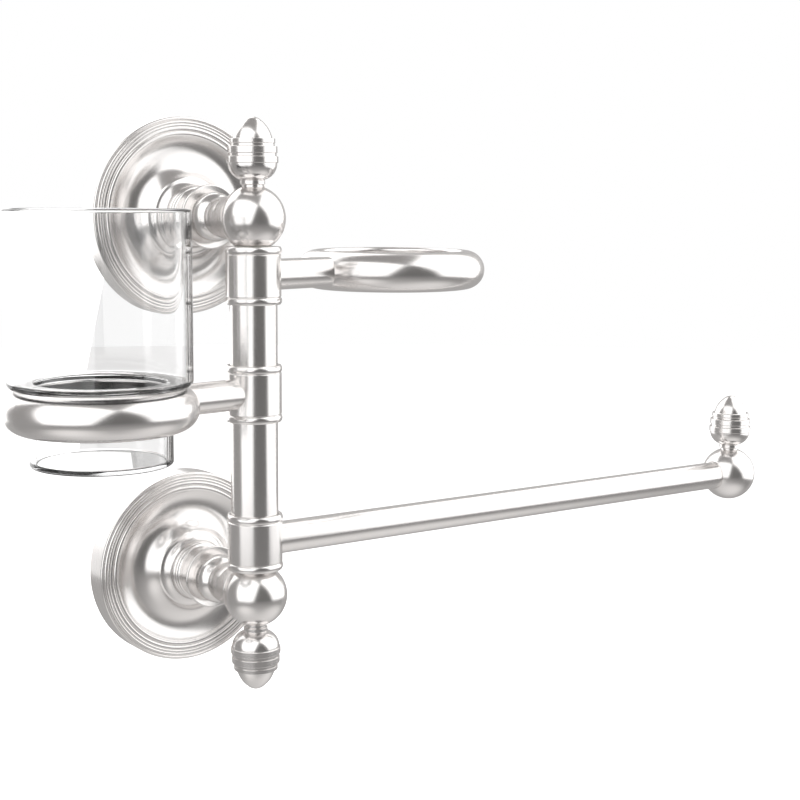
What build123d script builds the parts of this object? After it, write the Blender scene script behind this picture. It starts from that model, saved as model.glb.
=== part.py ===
"""Hair dryer holder for a bathroom wall, with a tumbler and a towel bar.

Two turned flanges carry an upright post. Three collars turn on the post: the
top one holds a ring for a hair dryer, the middle one a ring with a stepped
glass tumbler, and the bottom one a long towel bar. Acorn finials close the
post and the end of the bar, and pull the stack of balls, collars and spacer
tubes together on one rod.

Frame: +X along the wall, +Y into the wall, +Z up, in millimetres.
Origin: centre of the lower flange, on the face of the wall.
"""

import os
from math import cos, radians, sin, sqrt

from build123d import *

# Layout
POST_OUT = 69.2  # wall face to the post's axis
BALL_SPACING = 152.4  # lower ball's centre to the upper ball's centre
TUMBLER_COLLAR_Z = 83.0  # centre of the middle collar above the lower ball
DRYER_ANGLE = 11.5  # arm angles seen from above, from +X towards the wall
TUMBLER_ANGLE = 187.7
BAR_ANGLE = 0.0
DRYER_REACH = 78.9  # post's axis to the dryer ring's centre
TUMBLER_REACH = 70.9
BAR_REACH = 275.8  # post's axis to the end ball's centre

# Fits
RUN = 0.05  # running clearance of a collar on the rod, and axial play
EDGE_GAP = 0.3  # radial gap between a collar's rim and what enters it
BREAK = 0.3  # small edge break on turned pieces

# Post
ROD_R = 4.0
THREAD_R = 3.0  # 6 mm threads of the rod's ends, studs, tenons and screws
THREAD_IN = 8.0  # length of thread in a finial
TUBE_R = 9.525  # 3/4 in spacer tube
TUBE_WALL = 1.5
BUSH_FLANGE_T = 0.8
BUSH_FLANGE_R = 9.2
BUSH_SPIGOT = 5.0
WASHER_R = 7.2
WASHER_T = 0.8

# Balls
BALL_R = 13.0
COLLAR_SEAT_R = 7.4  # flat that faces a collar
NECK_SEAT_R = 8.2  # flat that the neck meets
NECK_HOLE_DEPTH = 5.2  # tapped for the neck screw, short of the rod's bore

# Swivel collars
COLLAR_R = 11.1
COLLAR_H = 22.8
BEAD_H = 2.9
BEAD_OUT = 0.25  # how far a bead stands out of the collar
GROOVE = 0.35  # fine groove beside each bead
TUBE_RECESS = 1.4  # a spacer tube and its bush start this far inside a collar
WASHER_RECESS = 0.55

# Arms, bar and rings
ARM_R = 6.25
TENON_DEPTH = 5.2  # thread of an arm in its collar
RING_TENON = 5.0
BAR_R = 6.6
BAR_WALL = 1.2
PLUG_L = 14.0
SOCKET_DEPTH = 6.0  # the bar's end inside the end ball
SOCKET_LIP = 0.3  # flat around the socket's mouth
RING_HALF = 8.2  # half the height of a ring, and the radius of its round side
DRYER_BORE_R = 30.8
DRYER_LAND = 1.5  # crown to bore, rounded over
TUMBLER_LAND = 1.2
TUMBLER_GAP = 0.6  # tumbler's foot to the ring's bore
SEAT_GAP = 0.05  # tumbler's shoulder above the ring's crown

# Tumbler
FOOT_R = 26.4
FOOT_H = 29.0
CUP_R = 34.1
CUP_H = 65.0
LIP_R = 35.1  # rounded edge of the shoulder
LIP_ROUND = 1.4
GLASS_WALL = 2.8
SHOULDER_T = 3.4
BASE_T = 6.0
CUP_ROUND = 3.0
FOOT_ROUND = 3.2
STEP_ROUND = 0.8

# Finial: stem, neck disc, bowl, bands as (radius, height) from the bowl up, tip
FINIAL_SEAT_R = 4.5
STEM_NECK_R = 4.1
STEM_NECK_H = 0.9
FINIAL_NECK_R = 4.9
FINIAL_NECK_H = 2.9
BOWL_H = 6.6
BOWL_R = 9.7
BOWL_SWELL = (0.66, 0.3)  # shares of the bowl's width and height at its round
BANDS = [(10.15, 2.5), (9.45, 1.3), (9.8, 2.6), (8.75, 1.25), (8.95, 1.75)]
TIP_R = 7.85
TIP_H = 8.5
TIP_SWELL = 0.78  # share of the tip's radius left at half its height
TIP_ROUND = 5.0
TIP_TURN = 45.0  # degrees of the rounded point on each side of the axis

# Rosette, as radius and height off the wall
ROSETTE_R = 41.7
RIM_H = 11.4  # front of the rim
RIM_ROUND = 0.8
RIM_WALL = 3.0
RIM_GROOVES = [(1.5, 0.45), (3.0, 0.25), (4.2, 0.25), (6.0, 0.5), (7.8, 0.25)]  # (in from the rim, depth)
RIM_SWELL = 0.2  # rise of the bead between two grooves
COVE_SHARE = 0.6  # place of the cove's lowest ring between the hub and the rim's last groove
COVE_LOW_H = 9.3
HUB_R = 16.6
HUB_H = 15.1
NOSE_R = 12.2
NOSE_H = 19.5
CAVITY_H = 6.0
POCKET_R = 9.0
POCKET_H = 11.0
SET_SCREW_R = 2.0
SET_SCREW_H = 2.2  # centre off the wall

# Neck between rosette and ball
RIB_H = 1.9
RIB_OUT = 0.8
DRUM_BACK_R = 11.2
DRUM_LIP_R = 13.3
DRUM_LIP_H = 33.7
BULB_R = 10.2
BULB_END_H = 43.3
BULB_END_R = 7.5
STEM_R = 8.2
STEM_END_H = 51.5
COLLET_R = 8.8

# Wall bracket and its fixings
BRACKET_GAP = 0.6  # bracket's edge to the rim's inner wall
BRACKET_T = 4.0
BRACKET_UNDERCUT = 1.2
BRACKET_EYE_R = 12.0
WALL_HOLE_R = 2.25
WALL_HOLE_SPACING = 40.0
WALL_CSK_R = 4.4
SCREW_HEAD_R = 5.2
SCREW_HEAD_H = 3.4
SOCKET_R = 1.5


def chord(radius, half_width):
    """Distance from a ball's centre to a flat of the given radius."""
    return sqrt(radius**2 - half_width**2)


# Radii and heights that follow from the sizes above
BRACKET_R = ROSETTE_R - RIM_WALL - BRACKET_GAP
TUBE_IN_R = TUBE_R - TUBE_WALL
COLLAR_SEAT = chord(BALL_R, COLLAR_SEAT_R)
FINIAL_SEAT = chord(BALL_R, FINIAL_SEAT_R)
NECK_SEAT = chord(BALL_R, NECK_SEAT_R)
BAR_SEAT = chord(BALL_R, BAR_R + SOCKET_LIP)
WASHER_GAP = WASHER_T + 2 * RUN - WASHER_RECESS
BAR_COLLAR_Z = COLLAR_SEAT + WASHER_GAP + COLLAR_H / 2
DRYER_COLLAR_Z = BALL_SPACING - BAR_COLLAR_Z
TUMBLER_BORE_R = FOOT_R + TUMBLER_GAP
TUBE_END = COLLAR_H / 2 - TUBE_RECESS + RUN + BUSH_FLANGE_T  # from a collar's centre


def lathe(*edges):
    """Turn a closed (radius, height) outline about Z."""
    return Rot(90, 0, 0) * revolve(make_face(edges), Axis.Y)


def path(*points):
    """Straight edges through the points."""
    return Polyline(*points).edges()


def disc(radius, bottom, top):
    """Upright cylinder between two heights."""
    return Pos(0, 0, (bottom + top) / 2) * Cylinder(radius, top - bottom)


def rod_x(radius, start, end):
    """Cylinder along +X between two distances."""
    return Pos((start + end) / 2, 0, 0) * Rot(0, 90, 0) * Cylinder(radius, end - start)


def rod_y(radius, start, end):
    """Cylinder along +Y between two distances."""
    return Pos(0, (start + end) / 2, 0) * Rot(90, 0, 0) * Cylinder(radius, end - start)


def off_wall(solid):
    """Lay a turned piece on the wall: its height becomes distance in front."""
    return Rot(90, 0, 0) * solid


def on_post(solid, z=0.0, angle=0.0):
    """Place a piece made about the post's axis at a height and arm angle."""
    return Pos(0, -POST_OUT, z) * Rot(0, 0, angle) * solid


# Flanges ---------------------------------------------------------------


def rim_front():
    """Front of the rosette's rim, from its outer corner inwards: beads between fine grooves."""
    turn = RIM_ROUND * (1 - sqrt(0.5))
    corner = (ROSETTE_R - RIM_ROUND, RIM_H)
    edges = [
        ThreePointArc(
            (ROSETTE_R, RIM_H - RIM_ROUND), (ROSETTE_R - turn, RIM_H - turn), corner
        )
    ]
    last = corner[0]
    for inset, depth in RIM_GROOVES:
        middle = ROSETTE_R - inset
        start, end = middle + depth, middle - depth
        crown = ((last + start) / 2, RIM_H + RIM_SWELL)
        edges.append(ThreePointArc((last, RIM_H), crown, (start, RIM_H)))
        edges += path((start, RIM_H), (middle, RIM_H - depth), (end, RIM_H))
        last = end
    return edges, last


def rosette():
    """Turned cover: a deep beaded rim, a broad cove and a tapering nose."""
    front, cove_out = rim_front()
    cove_r = HUB_R + COVE_SHARE * (cove_out - HUB_R)
    wall_in = ROSETTE_R - RIM_WALL
    nose = ((HUB_R + NOSE_R) / 2 - 0.5, (HUB_H + NOSE_H) / 2 - 0.6)
    body = lathe(
        *path((wall_in, 0), (ROSETTE_R, 0), (ROSETTE_R, RIM_H - RIM_ROUND)),
        *front,
        ThreePointArc((cove_out, RIM_H), (cove_r, COVE_LOW_H), (HUB_R, HUB_H)),
        *path((HUB_R, HUB_H), (HUB_R - 0.6, HUB_H + 0.5)),
        ThreePointArc((HUB_R - 0.6, HUB_H + 0.5), nose, (NOSE_R, NOSE_H)),
        *path(
            (NOSE_R, NOSE_H),
            (THREAD_R + BREAK, NOSE_H),
            (THREAD_R + BREAK, POCKET_H),
            (POCKET_R, POCKET_H),
            (POCKET_R, CAVITY_H),
            (wall_in, CAVITY_H),
            (wall_in, 0),
        ),
    )
    screw_hole = Pos(0, 0, SET_SCREW_H) * rod_y(SET_SCREW_R, -ROSETTE_R - 1, 1 - wall_in)
    return off_wall(body - screw_hole)


def rosette_set_screw():
    """Grub screw under the rim that draws the rosette onto its bracket."""
    body = rod_y(SET_SCREW_R, BREAK - ROSETTE_R, -BRACKET_R - RUN)
    socket = rod_y(SET_SCREW_R / 2, -ROSETTE_R, 1.6 - ROSETTE_R)
    return off_wall(Pos(0, 0, SET_SCREW_H) * (body - socket))


def wall_bracket():
    """Round plate with an undercut edge and two countersunk holes, one above the other."""
    back = BRACKET_R - BRACKET_UNDERCUT
    body = lathe(
        *path(
            (BRACKET_EYE_R, 0),
            (back, 0),
            (BRACKET_R, BRACKET_T),
            (BRACKET_EYE_R, BRACKET_T),
            (BRACKET_EYE_R, 0),
        )
    )
    sink = WALL_CSK_R - WALL_HOLE_R
    hole = disc(WALL_HOLE_R, -1, BRACKET_T + 1)
    hole += Pos(0, 0, BRACKET_T - sink / 2) * Cone(WALL_HOLE_R, WALL_CSK_R, sink)
    for side in (-1, 1):
        body -= Pos(0, side * WALL_HOLE_SPACING / 2, 0) * hole
    return off_wall(body)


def neck():
    """Turned neck: two ribs, a flared drum, a bulb, a stem and a seat for the ball."""
    seat_h = POST_OUT - NECK_SEAT
    bore = THREAD_R + BREAK
    edges = []
    x, h = NOSE_R - BREAK, NOSE_H
    edges += path((bore, h), (x, h))
    for _ in range(2):
        edges.append(ThreePointArc((x, h), (x + RIB_OUT, h + RIB_H / 2), (x, h + RIB_H)))
        h += RIB_H
        x -= 0.15
        edges += path((x + 0.15, h), (x, h + 0.1))
        h += 0.1
    edges += path((x, h), (DRUM_BACK_R, h + 0.4))
    flare = (DRUM_BACK_R + 0.35, (h + DRUM_LIP_H) / 2)
    edges.append(ThreePointArc((DRUM_BACK_R, h + 0.4), flare, (DRUM_LIP_R, DRUM_LIP_H)))
    lip = DRUM_LIP_R - 0.7
    edges.append(
        ThreePointArc(
            (DRUM_LIP_R, DRUM_LIP_H), (DRUM_LIP_R - 0.1, DRUM_LIP_H + 0.5), (lip, DRUM_LIP_H + 0.7)
        )
    )
    root = BULB_R - 1.0
    edges += path((lip, DRUM_LIP_H + 0.7), (root, DRUM_LIP_H + 0.2))
    middle = DRUM_LIP_H + (BULB_END_H - DRUM_LIP_H) * 0.42
    edges.append(
        ThreePointArc((root, DRUM_LIP_H + 0.2), (BULB_R, middle), (BULB_END_R, BULB_END_H))
    )
    edges += path((BULB_END_R, BULB_END_H), (STEM_R, BULB_END_H + 0.4))
    edges.append(
        ThreePointArc(
            (STEM_R, BULB_END_H + 0.4),
            (STEM_R + 0.25, (BULB_END_H + STEM_END_H) / 2),
            (STEM_R, STEM_END_H),
        )
    )
    edges += path(
        (STEM_R, STEM_END_H),
        (STEM_R - GROOVE, STEM_END_H + 0.3),
        (COLLET_R - BREAK, STEM_END_H + 0.6),
        (COLLET_R, STEM_END_H + 0.6 + BREAK),
        (COLLET_R, seat_h - 1.0),
        (NECK_SEAT_R, seat_h),
        (bore, seat_h),
        (bore, NOSE_H),
    )
    return off_wall(lathe(*edges))


def neck_screw():
    """Machine screw from behind the rosette, through the neck, into the ball."""
    end = POST_OUT - NECK_SEAT + NECK_HOLE_DEPTH - 0.4
    head_h = POCKET_H - SCREW_HEAD_H
    body = disc(SCREW_HEAD_R, head_h, POCKET_H) + disc(THREAD_R, POCKET_H, end)
    socket = extrude(RegularPolygon(SOCKET_R * 1.3, 6), 2.0)
    return off_wall(body - Pos(0, 0, head_h) * socket)


# Post ------------------------------------------------------------------


def post_ball(finial_side):
    """Ball with flats for the finial, the collar and the neck, bored for the rod."""
    body = Sphere(BALL_R)
    span = 2 * BALL_R
    for side, seat in ((finial_side, FINIAL_SEAT), (-finial_side, COLLAR_SEAT)):
        body -= Pos(0, 0, side * (seat + span / 2)) * Box(span, span, span)
    body -= Pos(0, NECK_SEAT + span / 2, 0) * Box(span, span, span)
    body -= Cylinder(ROD_R, span)
    body -= rod_y(THREAD_R, NECK_SEAT - NECK_HOLE_DEPTH, NECK_SEAT + 1)
    return body


def finial():
    """Acorn finial: neck disc, bowl, stepped bands and a rounded point, tapped below."""
    z = FINIAL_NECK_H
    rim = FINIAL_NECK_R
    edges = list(
        path(
            (THREAD_R, 0),
            (STEM_NECK_R, 0),
            (STEM_NECK_R, STEM_NECK_H),
            (rim, STEM_NECK_H + BREAK),
            (rim, z - BREAK),
            (rim - BREAK, z),
        )
    )
    start = (rim - BREAK, z)
    end = (BOWL_R, z + BOWL_H)
    swell = (rim + BOWL_SWELL[0] * (BOWL_R - rim), z + BOWL_SWELL[1] * BOWL_H)
    edges.append(ThreePointArc(start, swell, end))
    z += BOWL_H
    x = BOWL_R
    steps = [(x, z)]
    for radius, height in BANDS:
        chamfer = min(BREAK, height / 4)
        steps += [
            (radius - chamfer, z),
            (radius, z + chamfer),
            (radius, z + height - chamfer),
            (radius - chamfer, z + height),
        ]
        z += height
    steps.append((TIP_R, z))
    edges += path(*steps)
    tip = z + TIP_H
    cap, middle = (
        (TIP_ROUND * sin(radians(a)), tip - TIP_ROUND * (1 - cos(radians(a))))
        for a in (TIP_TURN, TIP_TURN / 2)
    )
    shoulder = (TIP_R * TIP_SWELL, z + TIP_H / 2)
    edges.append(ThreePointArc((TIP_R, z), shoulder, cap))
    edges.append(ThreePointArc(cap, middle, (0, tip)))
    edges += path((0, tip), (0, THREAD_IN), (THREAD_R, THREAD_IN), (THREAD_R, 0))
    return lathe(*edges)


def post_rod():
    """Rod through the whole stack, turned down and threaded at both ends."""
    low = -FINIAL_SEAT
    high = BALL_SPACING + FINIAL_SEAT
    grip = THREAD_IN - 0.5
    return disc(ROD_R, low, high) + disc(THREAD_R, low - grip, low) + disc(THREAD_R, high, high + grip)


def spacer_tube(low_collar_z, high_collar_z):
    """Tube between two collars, its ends just inside their rims."""
    low = low_collar_z + TUBE_END
    high = high_collar_z - TUBE_END
    return disc(TUBE_R, low, high) - disc(TUBE_IN_R, low, high)


def spacer_bush():
    """Flanged nylon bush that centres a spacer tube on the rod, flange down."""
    body = disc(BUSH_FLANGE_R, -BUSH_FLANGE_T, 0) + disc(TUBE_IN_R, 0, BUSH_SPIGOT)
    return body - disc(ROD_R, -BUSH_FLANGE_T, BUSH_SPIGOT)


def end_washer():
    """Nylon washer between a ball and the collar beside it."""
    return disc(WASHER_R, 0, WASHER_T) - disc(ROD_R, 0, WASHER_T)


# Swivel collars and arms -----------------------------------------------


def collar(top, bottom):
    """Swivel collar with an end bead each side; top and bottom are (radius, depth) recesses."""
    half = COLLAR_H / 2
    body_end = half - BEAD_H
    rim = COLLAR_R - BREAK
    bore = ROD_R + RUN

    def bead(side):
        points = [
            (COLLAR_R, side * (body_end - GROOVE)),
            (COLLAR_R - GROOVE, side * body_end),
            (COLLAR_R, side * (body_end + GROOVE)),
        ]
        swell = ThreePointArc(
            points[-1], (COLLAR_R + BEAD_OUT, side * (half - BEAD_H / 2)), (rim, side * half)
        )
        return points, swell

    up_points, up_swell = bead(1)
    low_points, low_swell = bead(-1)
    body = lathe(
        *path(*reversed(low_points), *up_points),
        up_swell,
        low_swell,
        *path((rim, half), (bore, half), (bore, -half), (rim, -half)),
    )
    body -= disc(top[0], half - top[1], half + 1)
    body -= disc(bottom[0], -half - 1, bottom[1] - half)
    tapped = rod_x(THREAD_R, COLLAR_R - TENON_DEPTH, COLLAR_R + 1)
    return body - tapped


def ring(bore_r, land):
    """Ring with a round outside and crown, and a straight bore."""
    crown = bore_r + land
    flat = RING_HALF - land
    turn = land * (1 - sqrt(0.5))
    return lathe(
        *path((bore_r, -flat), (bore_r, flat)),
        ThreePointArc((bore_r, flat), (bore_r + turn, RING_HALF - turn), (crown, RING_HALF)),
        ThreePointArc((crown, RING_HALF), (crown + RING_HALF, 0), (crown, -RING_HALF)),
        ThreePointArc((crown, -RING_HALF), (bore_r + turn, turn - RING_HALF), (bore_r, -flat)),
    )


def arm(reach, ring_crown_r):
    """Solid arm with tenons, coped to its collar and to the round of its ring."""
    ring_out = ring_crown_r + RING_HALF
    near_ring = reach - ring_out
    body = rod_x(ARM_R, 0, near_ring + RING_HALF)
    body -= Cylinder(COLLAR_R, 4 * ARM_R)
    body -= Pos(reach, 0, 0) * Torus(ring_crown_r, RING_HALF)
    body -= Pos(reach, 0, 0) * Cylinder(ring_crown_r, 4 * ARM_R)
    body += rod_x(THREAD_R, COLLAR_R - TENON_DEPTH + 0.4, near_ring + RING_TENON)
    return body


def ring_on_arm(reach, bore_r, land):
    """Ring moved out to its reach, with the hole for the arm's tenon."""
    near = reach - bore_r - land - RING_HALF
    hole = rod_x(THREAD_R, near - 1, near + RING_TENON)
    return Pos(reach, 0, 0) * ring(bore_r, land) - hole


# Towel bar -------------------------------------------------------------


def towel_bar():
    """Tube from the collar into the end ball's socket."""
    end = BAR_REACH - BAR_SEAT + SOCKET_DEPTH
    body = rod_x(BAR_R, 0, end) - rod_x(BAR_R - BAR_WALL, -1, end + 1)
    return body - Cylinder(COLLAR_R, 4 * BAR_R)


def bar_plug():
    """Plug in the bar's inner end, with the threaded tenon that enters the collar."""
    inner = BAR_R - BAR_WALL
    body = rod_x(inner, 0, COLLAR_R + PLUG_L) - Cylinder(COLLAR_R, 4 * BAR_R)
    return body + rod_x(THREAD_R, COLLAR_R - TENON_DEPTH + 0.4, COLLAR_R + PLUG_L / 2)


def end_ball():
    """Ball at the bar's end: a socket for the bar and a flat and thread for the finial."""
    span = 2 * BALL_R
    body = Sphere(BALL_R)
    body -= Pos(0, 0, FINIAL_SEAT + span / 2) * Box(span, span, span)
    body -= Pos(-BAR_SEAT - span / 2, 0, 0) * Box(span, span, span)
    body -= rod_x(BAR_R, -BALL_R - 1, SOCKET_DEPTH - BAR_SEAT)
    body -= disc(THREAD_R, FINIAL_SEAT - THREAD_IN, FINIAL_SEAT + 1)
    return Pos(BAR_REACH, 0, 0) * body


def end_stud():
    """Stud that joins the end finial to the end ball."""
    grip = THREAD_IN - 0.5
    return Pos(BAR_REACH, 0, FINIAL_SEAT) * disc(THREAD_R, -grip, grip)


# Tumbler ---------------------------------------------------------------


def tumbler():
    """Stepped glass: the foot drops through the ring, the shoulder rests on its crown."""
    k = 1 - sqrt(0.5)
    foot_in = FOOT_R - GLASS_WALL
    cup_in = CUP_R - GLASS_WALL
    lip = GLASS_WALL / 2
    well = BASE_T - FOOT_H
    r1, r2 = FOOT_ROUND, STEP_ROUND
    inner = CUP_ROUND - 0.6
    edge_in = LIP_R - LIP_ROUND
    edge_top = LIP_ROUND + chord(LIP_ROUND, CUP_R - edge_in)

    def corner(start, middle, end):
        return ThreePointArc(start, middle, end)

    edges = [
        Line((0, -FOOT_H), (FOOT_R - r1, -FOOT_H)),
        corner(
            (FOOT_R - r1, -FOOT_H), (FOOT_R - r1 * k, r1 * k - FOOT_H), (FOOT_R, r1 - FOOT_H)
        ),
        Line((FOOT_R, r1 - FOOT_H), (FOOT_R, -r2)),
        corner((FOOT_R, -r2), (FOOT_R + r2 * k, -r2 * k), (FOOT_R + r2, 0)),
        Line((FOOT_R + r2, 0), (edge_in, 0)),
        corner((edge_in, 0), (LIP_R, LIP_ROUND), (CUP_R, edge_top)),
        Line((CUP_R, edge_top), (CUP_R, CUP_H - lip)),
        corner((CUP_R, CUP_H - lip), (CUP_R - lip, CUP_H), (cup_in, CUP_H - lip)),
        Line((cup_in, CUP_H - lip), (cup_in, SHOULDER_T + inner)),
        corner(
            (cup_in, SHOULDER_T + inner),
            (cup_in - inner * k, SHOULDER_T + inner * k),
            (cup_in - inner, SHOULDER_T),
        ),
        Line((cup_in - inner, SHOULDER_T), (foot_in + r1, SHOULDER_T)),
        corner(
            (foot_in + r1, SHOULDER_T), (foot_in + r1 * k, SHOULDER_T - r1 * k), (foot_in, SHOULDER_T - r1)
        ),
        Line((foot_in, SHOULDER_T - r1), (foot_in, well + r1)),
        corner((foot_in, well + r1), (foot_in - r1 * k, well + r1 * k), (foot_in - r1, well)),
        Line((foot_in - r1, well), (0, well)),
        Line((0, well), (0, -FOOT_H)),
    ]
    return lathe(*edges)


# Assembly --------------------------------------------------------------


def both_flanges(solid):
    """The same piece at the lower and the upper flange."""
    return solid, Pos(0, 0, BALL_SPACING) * solid


def build():
    """Every node, placed at rest."""
    parts = {}
    for name, make in (
        ("rosette", rosette),
        ("wall_bracket", wall_bracket),
        ("neck", neck),
    ):
        parts[f"lower_{name}"], parts[f"upper_{name}"] = both_flanges(make())
    parts["rosette_set_screws"] = Compound(list(both_flanges(rosette_set_screw())))
    parts["neck_screws"] = Compound(list(both_flanges(neck_screw())))

    parts["lower_ball"] = on_post(post_ball(-1))
    parts["upper_ball"] = on_post(post_ball(1), BALL_SPACING)
    parts["post_rod"] = on_post(post_rod())
    parts["upper_finial"] = on_post(finial(), BALL_SPACING + FINIAL_SEAT)
    parts["lower_finial"] = on_post(Rot(180, 0, 0) * finial(), -FINIAL_SEAT)
    parts["lower_spacer_tube"] = on_post(spacer_tube(BAR_COLLAR_Z, TUMBLER_COLLAR_Z))
    parts["upper_spacer_tube"] = on_post(spacer_tube(TUMBLER_COLLAR_Z, DRYER_COLLAR_Z))
    bush_up = spacer_bush()
    bush_down = Rot(180, 0, 0) * spacer_bush()
    parts["spacer_bushes"] = Compound(
        [
            on_post(bush_up, BAR_COLLAR_Z + TUBE_END),
            on_post(bush_down, TUMBLER_COLLAR_Z - TUBE_END),
            on_post(bush_up, TUMBLER_COLLAR_Z + TUBE_END),
            on_post(bush_down, DRYER_COLLAR_Z - TUBE_END),
        ]
    )
    parts["end_washers"] = Compound(
        [
            on_post(end_washer(), COLLAR_SEAT + RUN),
            on_post(end_washer(), BALL_SPACING - COLLAR_SEAT - RUN - WASHER_T),
        ]
    )

    tube_recess = (TUBE_R + EDGE_GAP, TUBE_RECESS)
    washer_recess = (WASHER_R + EDGE_GAP, WASHER_RECESS)
    parts["dryer_collar"] = on_post(
        collar(washer_recess, tube_recess), DRYER_COLLAR_Z, DRYER_ANGLE
    )
    parts["tumbler_collar"] = on_post(
        collar(tube_recess, tube_recess), TUMBLER_COLLAR_Z, TUMBLER_ANGLE
    )
    parts["bar_collar"] = on_post(collar(tube_recess, washer_recess), BAR_COLLAR_Z, BAR_ANGLE)

    for name, reach, bore_r, land, z, angle in (
        ("dryer", DRYER_REACH, DRYER_BORE_R, DRYER_LAND, DRYER_COLLAR_Z, DRYER_ANGLE),
        ("tumbler", TUMBLER_REACH, TUMBLER_BORE_R, TUMBLER_LAND, TUMBLER_COLLAR_Z, TUMBLER_ANGLE),
    ):
        parts[f"{name}_arm"] = on_post(arm(reach, bore_r + land), z, angle)
        parts[f"{name}_ring"] = on_post(ring_on_arm(reach, bore_r, land), z, angle)

    for name, make in (
        ("towel_bar", towel_bar),
        ("bar_plug", bar_plug),
        ("end_ball", end_ball),
        ("end_finial_stud", end_stud),
    ):
        parts[name] = on_post(make(), BAR_COLLAR_Z, BAR_ANGLE)
    parts["end_finial"] = on_post(
        Pos(BAR_REACH, 0, FINIAL_SEAT) * finial(), BAR_COLLAR_Z, BAR_ANGLE
    )

    glass_z = TUMBLER_COLLAR_Z + RING_HALF + SEAT_GAP
    parts["glass_tumbler"] = on_post(
        Pos(TUMBLER_REACH, 0, 0) * tumbler(), glass_z, TUMBLER_ANGLE
    )
    return parts


os.makedirs("parts", exist_ok=True)
for node, shape in build().items():
    export_step(shape, f"parts/{node}.step")
    print(f"{node:20s} {shape.volume:10.1f} mm3, {len(shape.solids())} solid(s)")
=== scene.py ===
# %% [markdown]
# # A swing-arm holder for a hair dryer, in polished nickel
#
# This lesson dresses a finished CAD model. The real thing is a wall holder of
# turned brass, plated in polished nickel: two rosettes stand a post off the
# wall, and a ring for a hair dryer, a ring with a glass tumbler and a towel
# bar swing round that post. The CAD parts already have their true sizes and
# places, so Blender adds what CAD can't: crisp turned edges, a finish that
# behaves like plated metal, clear glass, and a studio to see them in.

import bmesh
import bpy
from math import atan2, ceil, cos, e, pi, radians, sin, sqrt, tan
from mathutils import Matrix, Vector


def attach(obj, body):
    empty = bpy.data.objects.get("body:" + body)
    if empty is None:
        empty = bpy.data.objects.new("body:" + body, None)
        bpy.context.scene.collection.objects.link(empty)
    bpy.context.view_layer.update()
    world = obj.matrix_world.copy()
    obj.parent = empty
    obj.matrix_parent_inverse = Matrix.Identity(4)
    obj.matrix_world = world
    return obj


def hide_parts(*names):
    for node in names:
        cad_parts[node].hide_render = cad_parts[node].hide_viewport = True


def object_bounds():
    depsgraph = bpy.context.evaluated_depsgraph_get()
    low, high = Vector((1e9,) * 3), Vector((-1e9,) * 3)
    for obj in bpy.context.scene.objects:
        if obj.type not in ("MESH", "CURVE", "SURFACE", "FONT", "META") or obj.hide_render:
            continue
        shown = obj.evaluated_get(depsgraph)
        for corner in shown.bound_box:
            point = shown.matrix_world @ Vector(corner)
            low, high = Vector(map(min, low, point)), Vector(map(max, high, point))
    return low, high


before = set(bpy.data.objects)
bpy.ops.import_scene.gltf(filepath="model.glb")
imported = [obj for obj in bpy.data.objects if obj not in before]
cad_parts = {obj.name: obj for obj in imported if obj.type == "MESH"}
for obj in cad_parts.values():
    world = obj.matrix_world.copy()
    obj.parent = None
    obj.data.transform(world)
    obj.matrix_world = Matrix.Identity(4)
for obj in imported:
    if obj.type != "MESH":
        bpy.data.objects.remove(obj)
CAD_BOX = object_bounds()
corners = [tuple(round(v, 4) for v in corner) for corner in CAD_BOX]
print("CAD box, in metres:", corners)

# %% [markdown]
# ## The camera
#
# The camera stands a little above the holder and off to its left, with a
# longish lens, so that the post comes forward and the bar runs away to the
# right. A camera could be aimed by a Track To constraint, but three plain
# angles are easier to adjust one at a time: yaw turns it round the vertical,
# pitch tips it down, and roll levels it.

# %% Place the camera
MM = 0.001
CAMERA_PLACE = Vector((-304.36, -603.05, 163.9)) * MM
YAW, PITCH, ROLL = radians(-35.15), radians(-7.77), radians(0.35)
LENS = 69.30
SENSOR = 36.0

ahead = Vector((-sin(YAW) * cos(PITCH), cos(YAW) * cos(PITCH), sin(PITCH)))
side = Vector((cos(YAW), sin(YAW), 0.0))
above = side.cross(ahead)
rolled_side = side * cos(ROLL) + above * sin(ROLL)
rolled_up = above * cos(ROLL) - side * sin(ROLL)

camera_data = bpy.data.cameras.new("product_camera")
camera_data.lens = LENS
camera_data.sensor_width = SENSOR
camera_data.clip_start = 0.01
camera = bpy.data.objects.new("product_camera", camera_data)
camera.matrix_world = Matrix.Translation(CAMERA_PLACE) @ Matrix(
    (
        (rolled_side.x, rolled_up.x, -ahead.x),
        (rolled_side.y, rolled_up.y, -ahead.y),
        (rolled_side.z, rolled_up.z, -ahead.z),
    )
).to_4x4()
bpy.context.scene.collection.objects.link(camera)
bpy.context.scene.camera = camera
bpy.context.scene.view_settings.view_transform = "Standard"
print("camera looks along", tuple(round(v, 3) for v in ahead))

# %% [markdown]
# ## Small helpers for node trees
#
# Materials, the world and geometry trees are all built from nodes. A helper
# that adds a node, sets its properties and plugs its inputs in one line keeps
# each tree about as long as its description.
#
# The last two helpers ask the Light Path node how a ray has travelled. A real
# studio hides cards and flags round polished metal and glass, and a renderer
# can do more: it can answer each kind of ray differently. That isn't how
# light behaves, and it stays in the studio, never in the object.


# %% Helpers for nodes
def add_node(tree, kind, inputs=None, **settings):
    """Adds a node. An input is a value, or an output socket to link from."""
    node = tree.nodes.new(kind)
    for name, value in settings.items():
        setattr(node, name, value)
    for key, value in (inputs or {}).items():
        socket = node.inputs[key]
        if isinstance(value, bpy.types.NodeSocket):
            tree.links.new(value, socket)
        else:
            socket.default_value = value
    return node


def calculate(tree, operation, first, second=0.0, clamp=False):
    """One Math node, as its output."""
    node = add_node(tree, "ShaderNodeMath", {0: first, 1: second}, operation=operation)
    node.use_clamp = clamp
    return node.outputs[0]


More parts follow.
